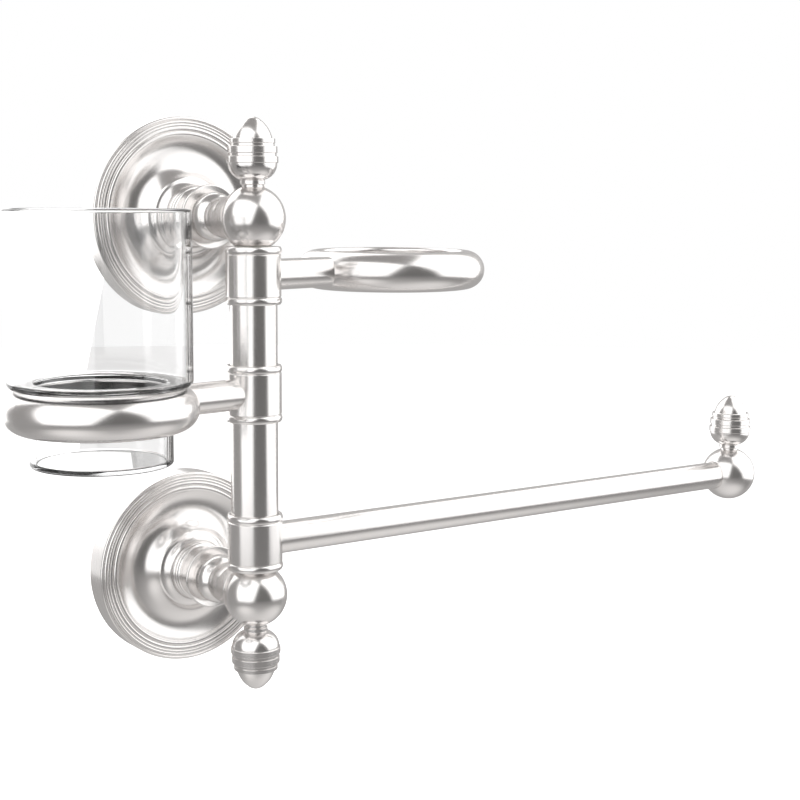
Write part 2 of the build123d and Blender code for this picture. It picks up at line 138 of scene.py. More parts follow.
def combine(tree, operation, first, second=(0.0, 0.0, 0.0)):
    """One Vector Math node, as its outputs."""
    inputs = {0: first, 1: second}
    return add_node(tree, "ShaderNodeVectorMath", inputs, operation=operation).outputs


def dot(tree, vector, direction):
    """How far a vector points along a fixed direction."""
    return combine(tree, "DOT_PRODUCT", vector, direction)["Value"]


def fade(tree, value, start, end):
    """A smooth rise from 0 at start to 1 at end."""
    node = add_node(
        tree,
        "ShaderNodeMapRange",
        {"Value": value, "From Min": start, "From Max": end},
        interpolation_type="SMOOTHSTEP",
    )
    return node.outputs["Result"]


def mix_numbers(tree, factor, low, high):
    """A number between two others."""
    node = add_node(tree, "ShaderNodeMix", {0: factor, 2: low, 3: high}, data_type="FLOAT")
    return node.outputs[0]


STRAIGHT_THROUGH = 4.0  # crossings on the way through a glass with two walls


def seen_directly(tree):
    """1 where the camera looks straight at something or through glass, 0 in a reflection."""
    path = add_node(tree, "ShaderNodeLightPath").outputs
    either = calculate(tree, "MAXIMUM", path["Is Camera Ray"], path["Is Transmission Ray"])
    mirrored = calculate(tree, "MINIMUM", path["Glossy Depth"], 1.0)
    return calculate(tree, "SUBTRACT", either, mirrored, clamp=True)


def trapped(tree):
    """1 for a ray that was mirrored and crossed glass, other than exactly four times.

    Many of them leave near the edges of a glass, so a dark answer draws its outline.
    """
    path = add_node(tree, "ShaderNodeLightPath").outputs
    mirrored = calculate(tree, "MINIMUM", path["Glossy Depth"], 1.0)
    entered = calculate(tree, "MINIMUM", path["Transmission Depth"], 1.0)
    uneven = calculate(tree, "SUBTRACT", path["Transmission Depth"], STRAIGHT_THROUGH)
    uneven = calculate(tree, "MINIMUM", calculate(tree, "ABSOLUTE", uneven), 1.0)
    return calculate(tree, "MULTIPLY", calculate(tree, "MULTIPLY", mirrored, entered), uneven)


print("helpers ready")

# %% [markdown]
# ## The studio
#
# Polished metal has hardly any colour of its own: what we see is the room in
# it. This studio has three tall soft boxes that lean over the post: one on the
# left in front, one on the right, and one behind on the left that edges the
# far side. The boxes give broad white reflections, and the darker gaps between
# them draw the stripes that make a tube look round. The boxes could be painted
# into the world, but area lamps at a real distance shift from piece to piece,
# as they do round a real object.

# %% Soft boxes
POST = Vector((0.0, -69.2, 76.0)) * MM
FACING = YAW  # the studio is set out round the camera's heading
TOWARD = Vector((sin(FACING), -cos(FACING), 0.0))
RIGHT = Vector((cos(FACING), sin(FACING), 0.0))


def from_camera(angle):
    """Level direction at an angle from the camera, as seen from the post, to its right."""
    return TOWARD * cos(radians(angle)) + RIGHT * sin(radians(angle))


def soft_box(name, angle, distance, width, lean, low, high, brightness):
    """Rectangular lamp that leans over the post, between two elevations seen from it."""
    slope = tan(radians(lean))
    ends = []
    for elevation in (low, high):
        level = distance / (1.0 + tan(radians(elevation)) * slope)
        lift = Vector((0.0, 0.0, level * tan(radians(elevation))))
        ends.append(POST + from_camera(angle) * level + lift)
    up = (ends[1] - ends[0]).normalized()
    length = (ends[1] - ends[0]).length
    across = from_camera(angle + 90.0)
    beam = up.cross(across)
    lamp = bpy.data.lights.new(name, "AREA")
    lamp.shape = "RECTANGLE"
    lamp.size = width
    lamp.size_y = length
    lamp.energy = brightness * pi * width * length
    box = bpy.data.objects.new(name, lamp)
    box.matrix_world = Matrix.Translation((ends[0] + ends[1]) / 2) @ Matrix(
        ((across.x, up.x, -beam.x), (across.y, up.y, -beam.y), (across.z, up.z, -beam.z))
    ).to_4x4()
    box.visible_camera = False
    bpy.context.scene.collection.objects.link(box)
    facing = (box.matrix_world.to_quaternion() @ Vector((0, 0, -1))).dot(POST - box.location)
    print(name, "is", round(width, 2), "by", round(length, 2), "m, faces the post:", facing > 0)
    return box


BOX_DISTANCE = 1.0  # metres
BOX_LEAN, BOX_LOW = 33.0, -19.0  # degrees
BOX_BRIGHTNESS = 1.25
for name, angle, width, high in (
    ("left_soft_box", -30.0, 1.35, 66.0),
    ("right_soft_box", 99.5, 1.535, 70.0),
    ("back_soft_box", -141.0, 0.95, 60.0),
):
    soft_box(name, angle, BOX_DISTANCE, width, BOX_LEAN, BOX_LOW, high, BOX_BRIGHTNESS)

# %% [markdown]
# ## The room
#
# The room round the boxes is the world, which answers by the kind of ray. A
# camera ray, or one that goes straight through glass, sees a plain white
# sweep. A mirrored ray sees a dim warm room with a paler ceiling and left
# side, and a mid grey behind the object, which gives polished metal its thin
# grey outline against white. A ray trapped in glass sees almost nothing.

# %% The room, as the world
ROOM_GREY = 0.15
CEILING_GREY = 0.32
BACK_GREY = 0.52
TRAPPED_GREY = 0.02
WHITE = 1.0
WARM = (1.0, 0.972, 0.955)
# Where each part of the room fades in, as the cosine of an angle or a level.
SWEEP_EDGE = (0.42, 0.60)
CEILING_EDGE = (0.55, 0.92)
LEFT_EDGE = (0.55, 0.85)
WARM_EDGE = (0.3, 0.95)

world = bpy.data.worlds.new("studio")
world.use_nodes = True
bpy.context.scene.world = world
room = world.node_tree
room.nodes.clear()
direction = add_node(room, "ShaderNodeTexCoord").outputs["Generated"]
behind = dot(room, direction, -TOWARD)
height = dot(room, direction, Vector((0.0, 0.0, 1.0)))
sweep = fade(room, behind, *SWEEP_EDGE)
ceiling = fade(room, height, *CEILING_EDGE)
leftward = fade(room, dot(room, direction, -RIGHT), *LEFT_EDGE)
dim = mix_numbers(room, ceiling, ROOM_GREY, CEILING_GREY)
dim = mix_numbers(room, leftward, dim, CEILING_GREY)
level = mix_numbers(room, sweep, dim, BACK_GREY)
level = mix_numbers(room, trapped(room), level, TRAPPED_GREY)
level = mix_numbers(room, seen_directly(room), level, WHITE)
tint = add_node(
    room,
    "ShaderNodeMix",
    {0: fade(room, level, *WARM_EDGE), 6: (*WARM, 1.0), 7: (1.0, 1.0, 1.0, 1.0)},
    data_type="RGBA",
)
sky = add_node(room, "ShaderNodeBackground", {"Color": tint.outputs[2], "Strength": level})
add_node(room, "ShaderNodeOutputWorld", {"Surface": sky.outputs[0]})
print("room grey", ROOM_GREY, "ceiling", CEILING_GREY)

# %% [markdown]
# ## The floor
#
# Polished metal also mirrors the floor, brightest where the boxes light it.
# For mirrored rays the floor is painted: a grey that falls off with distance
# from the post, never below a level set for each side, and two pale pools
# near the left and right boxes. For the camera it is a matt floor with a glow that
# lifts it to white and keeps the shadow. Rays that come through glass lose
# some of that glow, so that clear glass shows a little grey.

# %% Lay the floor
FLOOR_Z = -0.30
FLOOR_R = 4.0
FLOOR_SIDES = 96
FLOOR_MIDDLE = Vector((POST.x, POST.y, FLOOR_Z))
NEAR_GREY = 0.62
FLOOR_GREY = 0.245
FLOOR_FALL = -0.186
FLOOR_LOW, LEFT_LOW, BACK_LOW = 0.15, 0.33, 0.42
LEFT_FLOOR_EDGE, BACK_FLOOR_EDGE = (0.55, 0.9), (0.2, 0.6)
# Pools of light: angle, distance, inner and outer radius, and grey at the middle.
POOLS = ((-38.0, 0.36, 0.05, 0.34, 0.88), (97.0, 0.30, 0.05, 0.40, 0.80))
FLOOR_TINT = (1.0, 0.98, 0.968, 1.0)
MATT_GREY = (0.80, 0.80, 0.80, 1.0)
GLOW_EDGE = (0.3, 0.9)
NEAR_GLOW, FAR_GLOW = 0.55, 1.0
GLASS_LOSS = 0.36

floor_mesh = bpy.data.meshes.new("floor")
shape = bmesh.new()
bmesh.ops.create_circle(shape, cap_ends=True, segments=FLOOR_SIDES, radius=FLOOR_R)
bmesh.ops.translate(shape, verts=shape.verts, vec=FLOOR_MIDDLE)
shape.to_mesh(floor_mesh)
shape.free()
floor = bpy.data.objects.new("floor", floor_mesh)
bpy.context.scene.collection.objects.link(floor)

pale = bpy.data.materials.new("pale_floor")
pale.use_nodes = True
tree = pale.node_tree
tree.nodes.clear()
place = add_node(tree, "ShaderNodeTexCoord").outputs["Object"]


def spread_from(tree, place, centre):
    """Distance across the floor from a point on it."""
    return combine(tree, "DISTANCE", place, centre)["Value"]


def pool(tree, place, angle, distance, inner, outer):
    """A round patch of light, 1 at its middle."""
    middle = FLOOR_MIDDLE + from_camera(angle) * distance
    return fade(tree, spread_from(tree, place, middle), outer, inner)


out_from_post = spread_from(tree, place, FLOOR_MIDDLE)
fall = calculate(tree, "MULTIPLY", calculate(tree, "LOGARITHM", out_from_post, e), FLOOR_FALL)
grey = calculate(tree, "ADD", fall, FLOOR_GREY)
outward = combine(tree, "NORMALIZE", combine(tree, "SUBTRACT", place, FLOOR_MIDDLE)[0])[0]
on_left = fade(tree, dot(tree, outward, -RIGHT), *LEFT_FLOOR_EDGE)
at_back = fade(tree, dot(tree, outward, -TOWARD), *BACK_FLOOR_EDGE)
low = mix_numbers(tree, on_left, FLOOR_LOW, LEFT_LOW)
low = mix_numbers(tree, at_back, low, BACK_LOW)
grey = calculate(tree, "MINIMUM", calculate(tree, "MAXIMUM", grey, low), NEAR_GREY)
for angle, distance, inner, outer, pool_grey in POOLS:
    grey = mix_numbers(tree, pool(tree, place, angle, distance, inner, outer), grey, pool_grey)
grey = mix_numbers(tree, trapped(tree), grey, TRAPPED_GREY)
reflected = add_node(tree, "ShaderNodeEmission", {"Color": FLOOR_TINT, "Strength": grey})
matt = add_node(tree, "ShaderNodeBsdfDiffuse", {"Color": MATT_GREY})
lift = mix_numbers(tree, fade(tree, out_from_post, *GLOW_EDGE), NEAR_GLOW, FAR_GLOW)
through = add_node(tree, "ShaderNodeLightPath").outputs["Is Transmission Ray"]
lift = calculate(tree, "SUBTRACT", lift, calculate(tree, "MULTIPLY", through, GLASS_LOSS))
glow = add_node(tree, "ShaderNodeEmission", {"Color": (1.0, 1.0, 1.0, 1.0), "Strength": lift})
lit = add_node(tree, "ShaderNodeAddShader", {0: matt.outputs[0], 1: glow.outputs[0]})
both = add_node(
    tree,
    "ShaderNodeMixShader",
    {
        0: seen_directly(tree),
        1: reflected.outputs[0],
        2: lit.outputs[0],
    },
)
add_node(tree, "ShaderNodeOutputMaterial", {"Surface": both.outputs[0]})
floor_mesh.materials.append(pale)
print("floor at", FLOOR_Z, "m")

# %% [markdown]
# ## Polished nickel
#
# Nickel plate is a warm white metal. A buffing wheel leaves it bright but not
# quite a mirror: it blurs a reflection a little, and unevenly. A metallic
# Principled shader with a low roughness does the first, and a slow noise on
# that roughness the second. Fine polishing lines could be added with a Bump
# node; they are left out here.


# %% Nickel and steel
POLISH_SCALE, POLISH_DETAIL = 60.0, 3.0


def new_material(name):
    """An empty node material with its output, as (material, tree, output)."""
    made = bpy.data.materials.new(name)
    made.use_nodes = True
    made.node_tree.nodes.clear()
    return made, made.node_tree, add_node(made.node_tree, "ShaderNodeOutputMaterial")


def plated_metal(name, colour, roughness, spread):
    """Bright plated metal with slightly uneven polish."""
    made, nodes, output = new_material(name)
    where = add_node(nodes, "ShaderNodeTexCoord").outputs["Object"]
    haze = add_node(
        nodes,
        "ShaderNodeTexNoise",
        {"Vector": where, "Scale": POLISH_SCALE, "Detail": POLISH_DETAIL},
    )
    uneven = add_node(
        nodes,
        "ShaderNodeMapRange",
        {"Value": haze.outputs[0], "To Min": roughness - spread, "To Max": roughness + spread},
    )
    shader = add_node(
        nodes,
        "ShaderNodeBsdfPrincipled",
        {"Base Color": (*colour, 1.0), "Metallic": 1.0, "Roughness": uneven.outputs[0]},
    )
    nodes.links.new(shader.outputs[0], output.inputs["Surface"])
    return made


NICKEL = plated_metal("polished_nickel", (0.87, 0.85, 0.838), roughness=0.22, spread=0.03)
STEEL = plated_metal("turned_steel", (0.62, 0.61, 0.60), roughness=0.36, spread=0.06)
print("metals ready")

# %% [markdown]
# ## Nylon
#
# Bushes and washers are moulded in natural nylon, an off-white, half matt
# plastic. They are hidden in the post, so a plain shader with a very fine
# mould grain through a Bump node is enough.

# %% Nylon
GRAIN_SCALE, GRAIN_DETAIL = 900.0, 2.0
GRAIN_STRENGTH, GRAIN_DEPTH = 0.1, 0.00004

NYLON, nodes, output = new_material("natural_nylon")
where = add_node(nodes, "ShaderNodeTexCoord").outputs["Object"]
mould = add_node(
    nodes,
    "ShaderNodeTexNoise",
    {"Vector": where, "Scale": GRAIN_SCALE, "Detail": GRAIN_DETAIL},
)
grain = add_node(
    nodes,
    "ShaderNodeBump",
    {"Height": mould.outputs[0], "Strength": GRAIN_STRENGTH, "Distance": GRAIN_DEPTH},
)
shader = add_node(
    nodes,
    "ShaderNodeBsdfPrincipled",
    {"Base Color": (0.82, 0.80, 0.74, 1.0), "Roughness": 0.45, "Normal": grain.outputs[0]},
)
nodes.links.new(shader.outputs[0], output.inputs["Surface"])
print("nylon ready")

# %% [markdown]
# ## Glass
#
# Clear glass has no colour to paint: transmission and an index of refraction
# of 1.5 do everything, on walls that have a real thickness. A thin sheet
# could fake it, but its edges would show none of the dark lines.

# %% Glass
GLASS_IOR = 1.5

GLASS, nodes, output = new_material("clear_glass")
shader = add_node(
    nodes,
    "ShaderNodeBsdfPrincipled",
    {
        "Base Color": (1.0, 1.0, 1.0, 1.0),
        "Roughness": 0.0,
        "IOR": GLASS_IOR,
        "Transmission Weight": 1.0,
    },
)
nodes.links.new(shader.outputs[0], output.inputs["Surface"])
print("glass ready")

# %% [markdown]
# ## Finishes for the CAD parts
#
# The CAD parts arrive with plain stand-in materials. Most of the holder is
# plated, so it is shorter to name only the parts that aren't.

# %% Give each CAD part its finish
FINISHES = {"nickel": NICKEL, "steel": STEEL, "nylon": NYLON, "glass": GLASS}
STEEL_NODES = {
    "lower_wall_bracket", "upper_wall_bracket", "rosette_set_screws", "neck_screws",
    "post_rod", "bar_plug", "end_finial_stud",
}
NYLON_NODES = {"spacer_bushes", "end_washers"}
for name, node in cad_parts.items():
    slot = "nickel"
    if name in STEEL_NODES:
        slot = "steel"
    elif name in NYLON_NODES:
        slot = "nylon"
    elif name == "glass_tumbler":
        slot = "glass"
    for i in range(len(node.data.materials)):
        node.data.materials[i] = FINISHES[slot]
print(len(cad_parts), "CAD parts have their finish")

# %% [markdown]
# ## Turned pieces from one node tree
#
# Rosettes, necks, finials and collars are turned: a bar spins in a lathe and
# a tool follows an outline. A Screw modifier could spin an outline too, but a
# Geometry Nodes tree can also lay the piece on the wall, repeat it where the
# holder has two of it, and give it its finish. Its inputs are named for what
# a turner would ask: which outline, how finely divided, where and which way
# it stands, how many, and how far apart.

# %% The lathe tree
POST_OUT = 69.2
BALL_SPACING = 152.4
WELD = 0.001 * MM  # points closer than this are one point


def lathe_tree():
    """Turns an outline of (radius, height) points round Z, places it and repeats it."""
    tree = bpy.data.node_groups.new("lathe", "GeometryNodeTree")
    for name, kind in (
        ("Outline", "Geometry"),
        ("Segments", "Int"),
        ("Turn", "Vector"),
        ("Place", "Vector"),
        ("Count", "Int"),
        ("Step", "Vector"),
        ("Finish", "Material"),
    ):
        tree.interface.new_socket(name, in_out="INPUT", socket_type="NodeSocket" + kind)
    tree.interface.new_socket("Turned", in_out="OUTPUT", socket_type="NodeSocketGeometry")
    given = add_node(tree, "NodeGroupInput").outputs
    size = add_node(
        tree, "GeometryNodeAttributeDomainSize", {0: given["Outline"]}, component="MESH"
    )
    rows = size.outputs["Point Count"]
    columns = calculate(tree, "ADD", given["Segments"], 1.0)
    sheet = add_node(tree, "GeometryNodeMeshGrid", {"Vertices X": columns, "Vertices Y": rows})
    index = add_node(tree, "GeometryNodeInputIndex").outputs[0]
    middle = calculate(tree, "ADD", index, 0.5)
    column = calculate(tree, "FLOOR", calculate(tree, "DIVIDE", middle, rows))
    row = calculate(tree, "SUBTRACT", index, calculate(tree, "MULTIPLY", column, rows))
    drawn = add_node(
        tree,
        "GeometryNodeSampleIndex",
        {
            "Geometry": given["Outline"],
            "Value": add_node(tree, "GeometryNodeInputPosition").outputs[0],
            "Index": row,
        },
        data_type="FLOAT_VECTOR",
        domain="POINT",
    )
    along = add_node(tree, "ShaderNodeSeparateXYZ", {0: drawn.outputs[0]}).outputs
    share = calculate(tree, "DIVIDE", column, given["Segments"])
    angle = calculate(tree, "MULTIPLY", share, 2.0 * pi)
    spun = add_node(
        tree,
        "ShaderNodeCombineXYZ",
        {
            0: calculate(tree, "MULTIPLY", along[0], calculate(tree, "COSINE", angle)),
            1: calculate(tree, "MULTIPLY", along[0], calculate(tree, "SINE", angle)),
            2: along[1],
        },
    )
    wrapped = add_node(
        tree,
        "GeometryNodeSetPosition",
        {"Geometry": sheet.outputs["Mesh"], "Position": spun.outputs[0]},
    )
    joined = add_node(
        tree, "GeometryNodeMergeByDistance", {"Geometry": wrapped.outputs[0], "Distance": WELD}
    )
    turn = add_node(tree, "FunctionNodeEulerToRotation", {0: given["Turn"]})
    placed = add_node(
        tree,
        "GeometryNodeTransform",
        {"Geometry": joined.outputs[0], "Translation": given["Place"], "Rotation": turn.outputs[0]},
    )
    spots = add_node(
        tree, "GeometryNodeMeshLine", {"Count": given["Count"], "Offset": given["Step"]}
    )
    copies = add_node(
        tree,
        "GeometryNodeInstanceOnPoints",
        {"Points": spots.outputs["Mesh"], "Instance": placed.outputs[0]},
    )
    real = add_node(tree, "GeometryNodeRealizeInstances", {0: copies.outputs[0]})
    finished = add_node(
        tree, "GeometryNodeSetMaterial", {"Geometry": real.outputs[0], "Material": given["Finish"]}
    )
    add_node(tree, "NodeGroupOutput", {0: finished.outputs[0]})
    return tree


LATHE = lathe_tree()
sockets = [item.name for item in LATHE.interface.items_tree if item.in_out == "INPUT"]
print("lathe inputs:", sockets)

# %% [markdown]
# A tree isn't a mesh yet. The next helper hangs it on an outline as a
# modifier, sets the inputs by the identifiers of their sockets, and bakes the
# result into a plain mesh. Edges sharper than the shading angle stay crisp.

# %% From a tree to a piece
SHADING_ANGLE = radians(38.0)


def set_inputs(modifier, tree, values):
    """Sets a Geometry Nodes modifier's inputs by their socket names."""
    modifier.node_group = tree
    for item in tree.interface.items_tree:
        if item.in_out == "INPUT" and item.name in values:
            modifier[item.identifier] = values[item.name]


def bake(name, points, trees):
    """A plain mesh piece from an outline and a list of (tree, inputs)."""
    mesh = bpy.data.meshes.new(name + "_outline")
    edges = [(i, i + 1) for i in range(len(points) - 1)]
    mesh.from_pydata([(r * MM, h * MM, 0.0) for r, h in points], edges, [])
    maker = bpy.data.objects.new(name + "_outline", mesh)
    bpy.context.scene.collection.objects.link(maker)
    for tree, values in trees:
        set_inputs(maker.modifiers.new(tree.name, "NODES"), tree, values)
    seen = maker.evaluated_get(bpy.context.evaluated_depsgraph_get())
    made = bpy.data.meshes.new_from_object(seen)
    bpy.data.objects.remove(maker)
    shape = bmesh.new()
    shape.from_mesh(made)
    bmesh.ops.remove_doubles(shape, verts=shape.verts, dist=WELD)
    bmesh.ops.recalc_face_normals(shape, faces=shape.faces)
    if shape.calc_volume(signed=True) < 0.0:
        bmesh.ops.reverse_faces(shape, faces=shape.faces)
    volume = shape.calc_volume(signed=True)
    shape.to_mesh(made)
    shape.free()
    made.shade_smooth()
    made.set_sharp_from_angle(angle=SHADING_ANGLE)
    made.name = name
    piece = bpy.data.objects.new(name, made)
    bpy.context.scene.collection.objects.link(piece)
    triangles = sum(len(face.vertices) - 2 for face in made.polygons)
    print(name, "has", triangles, "triangles and", round(volume * 1e6, 2), "ml of material")
    return piece

# %% [markdown]
# ## Outlines
#
# An outline is drawn as a turner's sketch: a start point, then straight moves
# and bows. No tool leaves a perfectly sharp edge, and polishing rounds it
# further, so every corner is eased by a tenth of a millimetre or so. Those
# eased edges are what catches the light as fine bright lines. Smooth shading
# blends the normals of neighbouring faces, which would bend the reflection
# along a whole flat, so each straight run gets a support point just inside
# either end: the bend in the shading stays at the edge.

# %% Draw an outline
ARC_STEP, ARC_TURN = 0.35, radians(9.0)  # longest step along a bow, and its widest turn
ARC_LEAST = 4
EASE = 0.12
EASE_SHARE = 0.45  # of a short run, at most
EASE_STEPS = (0.0, 0.25, 0.5, 0.75, 1.0)
CORNER = radians(14.0)
SUPPORT = 0.06
LONG_RUN = 0.45


def bow(start, middle, end):
    """Points along the arc through three points, after its start."""
    (ax, ay), (bx, by), (cx, cy) = start, middle, end
    twice = 2.0 * (ax * (by - cy) + bx * (cy - ay) + cx * (ay - by))
    if abs(twice) < 1e-9:
        return [end]
    aa, bb, cc = ax * ax + ay * ay, bx * bx + by * by, cx * cx + cy * cy
    ox = (aa * (by - cy) + bb * (cy - ay) + cc * (ay - by)) / twice
    oy = (aa * (cx - bx) + bb * (ax - cx) + cc * (bx - ax)) / twice
    radius = sqrt((ax - ox) ** 2 + (ay - oy) ** 2)
    first, passing, last = (atan2(y - oy, x - ox) for x, y in (start, middle, end))
    sweep = (last - first) % (2.0 * pi)
    if (passing - first) % (2.0 * pi) > sweep:
        sweep -= 2.0 * pi
    count = max(ARC_LEAST, ceil(abs(sweep) * radius / ARC_STEP), ceil(abs(sweep) / ARC_TURN))
    points = []
    for i in range(1, count):
        a = first + sweep * i / count
        points.append((ox + radius * cos(a), oy + radius * sin(a)))
    return points + [end]


def supported(points):
    """The same outline with a support point just inside either end of each long run."""
    made = [points[0]]
    for before, after in zip(points, points[1:]):
        run = Vector(after) - Vector(before)
        if run.length > LONG_RUN:
            step = run.normalized() * SUPPORT
            made += [tuple(Vector(before) + step), tuple(Vector(after) - step)]
        made.append(after)
    return made


def outline(start, *moves, ease=EASE):
    """Points from (radius, height) moves, or bows given as (radius, height, radius, height)."""
    points, corners = [start], []
    for move in moves:
        corners.append(len(points) - 1)
        if len(move) == 2:
            points.append(move)
        else:
            points += bow(points[-1], move[:2], move[2:])
    eased = [points[0]]
    for i in range(1, len(points) - 1):
        here, before, after = (Vector(points[j]) for j in (i, i - 1, i + 1))
        into, out = here - before, after - here
        if i in corners and min(into.length, out.length) > 1e-6 and into.angle(out) > CORNER:
            back = min(ease, EASE_SHARE * into.length)
            on = min(ease, EASE_SHARE * out.length)
            a, c = here - into.normalized() * back, here + out.normalized() * on
            for t in EASE_STEPS:
                p = a * (1 - t) ** 2 + here * 2 * t * (1 - t) + c * t**2
                eased.append((p.x, p.y))
        else:
            eased.append(points[i])
    return supported(eased + [points[-1]])


def seat(radius, half_width):
    """Distance from a ball's centre to a flat of the given radius."""
    return sqrt(radius**2 - half_width**2)


print("a quarter bow has", len(bow((1, 0), (0.7071, 0.7071), (0, 1))), "points")

# %% [markdown]
# ## Rosettes
#
# A rosette is a shallow cup that hides the bracket on the wall. Its face is
# cut with five fine grooves near the rim, then a broad cove sweeps up to a
# tapering nose. Both rosettes sit on the post's body, so one tree run makes
# both, one step of the ball spacing apart.

# %% Rosette outline
ROSETTE_R, RIM_H, RIM_ROUND, RIM_WALL = 41.7, 11.4, 0.8, 3.0
RIM_GROOVES = ((1.5, 0.45), (3.0, 0.16), (4.2, 0.14), (6.0, 0.38), (7.8, 0.12))
RIM_SWELL = 0.12
COVE_SHARE, COVE_LOW_H = 0.55, 9.2
HUB_R, HUB_H = 16.6, 15.1
HUB_STEP = (0.6, 0.5)  # the small step in and up at the hub's edge
NOSE_R, NOSE_H = 12.2, 19.5
NOSE_DIP = (0.5, 0.6)  # how far the nose's taper is hollowed at its middle
ROSETTE_SEGMENTS = 176
CAVITY_H, POCKET_R, POCKET_H = 6.0, 9.0, 11.0
BORE_R = 3.3
ON_WALL = (pi / 2, 0.0, 0.0)
UP_A_FLANGE = (0.0, 0.0, BALL_SPACING * MM)


def rosette_outline():
    """Rim, beads between fine grooves, cove, nose, and the hollow back."""
    turn = RIM_ROUND * (1 - sqrt(0.5))
    last = ROSETTE_R - RIM_ROUND
    moves = [
        (ROSETTE_R, 0.0),
        (ROSETTE_R, RIM_H - RIM_ROUND),
        (ROSETTE_R - turn, RIM_H - turn, last, RIM_H),
    ]
    for inset, depth in RIM_GROOVES:
        middle = ROSETTE_R - inset
        moves += [
            ((last + middle + depth) / 2, RIM_H + RIM_SWELL, middle + depth, RIM_H),
            (middle, RIM_H - depth),
            (middle - depth, RIM_H),
        ]
        last = middle - depth
    cove = HUB_R + COVE_SHARE * (last - HUB_R)
    nose = ((HUB_R + NOSE_R) / 2 - NOSE_DIP[0], (HUB_H + NOSE_H) / 2 - NOSE_DIP[1])
    moves += [
        (cove, COVE_LOW_H, HUB_R, HUB_H),
        (HUB_R - HUB_STEP[0], HUB_H + HUB_STEP[1]),
        (*nose, NOSE_R, NOSE_H),
        (BORE_R, NOSE_H),
        (BORE_R, POCKET_H),
        (POCKET_R, POCKET_H),
        (POCKET_R, CAVITY_H),
        (ROSETTE_R - RIM_WALL, CAVITY_H),
        (ROSETTE_R - RIM_WALL, 0.0),
    ]
    return outline((ROSETTE_R - RIM_WALL, 0.0), *moves)


# %% [markdown]
# A grub screw under each rim draws the rosette onto its bracket. Its hole is
# the one thing that isn't turned: a second small tree drills it, once for
# each rosette, by cutting a cylinder out of the result.


# %% The drill tree
BIT_SIDES = 48


def drill_tree():
    """Cuts a row of upright round holes, each centred on its place."""
    tree = bpy.data.node_groups.new("drill", "GeometryNodeTree")
    for name, kind in (
        ("Work", "Geometry"),
        ("Radius", "Float"),
        ("Length", "Float"),
        ("Place", "Vector"),
        ("Count", "Int"),
        ("Step", "Vector"),
        ("Finish", "Material"),
    ):
        tree.interface.new_socket(name, in_out="INPUT", socket_type="NodeSocket" + kind)
    tree.interface.new_socket("Drilled", in_out="OUTPUT", socket_type="NodeSocketGeometry")
    given = add_node(tree, "NodeGroupInput").outputs
    bit = add_node(
        tree,
        "GeometryNodeMeshCylinder",
        {"Vertices": BIT_SIDES, "Radius": given["Radius"], "Depth": given["Length"]},
    )
    spots = add_node(
        tree,
        "GeometryNodeMeshLine",
        {"Count": given["Count"], "Start Location": given["Place"], "Offset": given["Step"]},
    )
    bits = add_node(
        tree,
        "GeometryNodeInstanceOnPoints",
        {"Points": spots.outputs["Mesh"], "Instance": bit.outputs["Mesh"]},
    )
    real = add_node(tree, "GeometryNodeRealizeInstances", {0: bits.outputs[0]})
    cut = add_node(
        tree,
        "GeometryNodeMeshBoolean",
        {0: given["Work"], 1: real.outputs[0]},
        operation="DIFFERENCE",
        solver="EXACT",
    )
    whole = add_node(tree, "GeometryNodeRealizeInstances", {0: cut.outputs[0]})
    finished = add_node(
        tree, "GeometryNodeSetMaterial", {"Geometry": whole.outputs[0], "Material": given["Finish"]}
    )
    add_node(tree, "NodeGroupOutput", {0: finished.outputs[0]})
    return tree


DRILL = drill_tree()
print("drill ready")

# %% Make the rosettes
SET_SCREW_R, SET_SCREW_H = 2.0, 2.2
HOLE_LENGTH = 6.0

rosettes = bake(
    "rosettes",
    rosette_outline(),
    (
        (
            LATHE,
            {
                "Segments": ROSETTE_SEGMENTS,
                "Turn": ON_WALL,
                "Count": 2,
                "Step": UP_A_FLANGE,
                "Finish": NICKEL,
            },
        ),
        (
            DRILL,
            {
                "Radius": SET_SCREW_R * MM,
                "Length": HOLE_LENGTH * MM,
                "Place": (0.0, -SET_SCREW_H * MM, -(ROSETTE_R - RIM_WALL / 2) * MM),
                "Count": 2,
                "Step": UP_A_FLANGE,
                "Finish": NICKEL,
            },
        ),
    ),
)
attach(rosettes, "post")
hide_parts("lower_rosette", "upper_rosette")

# %% [markdown]
# ## Necks
#
# A neck stands between a rosette and its ball, and a screw from behind clamps
# the three together. Two small ribs, a drum that flares to a lip, a bulb and
# a short stem: it is one outline again.

# %% Necks
RIBS = 2
RIB_H, RIB_OUT = 1.9, 0.8
RIB_LAND, RIB_TAPER = 0.1, 0.15  # flat after each rib, and the step inwards there
DRUM_BACK_R, DRUM_LIP_R, DRUM_LIP_H = 11.2, 13.3, 33.7
DRUM_RISE, DRUM_BELLY = 0.4, 0.35
LIP_BREAK, LIP_IN = (0.1, 0.5), 0.7  # rounded front of the drum's lip
BULB_R, BULB_END_H, BULB_END_R = 10.2, 43.3, 7.5
BULB_ROOT, BULB_ROOT_H, BULB_WIDEST = 1.0, 0.2, 0.42
STEM_R, STEM_END_H, COLLET_R = 8.2, 51.5, 8.8
STEM_RISE, STEM_BELLY = 0.4, 0.25
COLLET_GROOVE_H, COLLET_H, COLLET_SLOPE = 0.3, 0.6, 1.0
NECK_SEGMENTS = 160
GROOVE = 0.35
BREAK = 0.3
BALL_R = 13.0
NECK_SEAT_R = 8.2


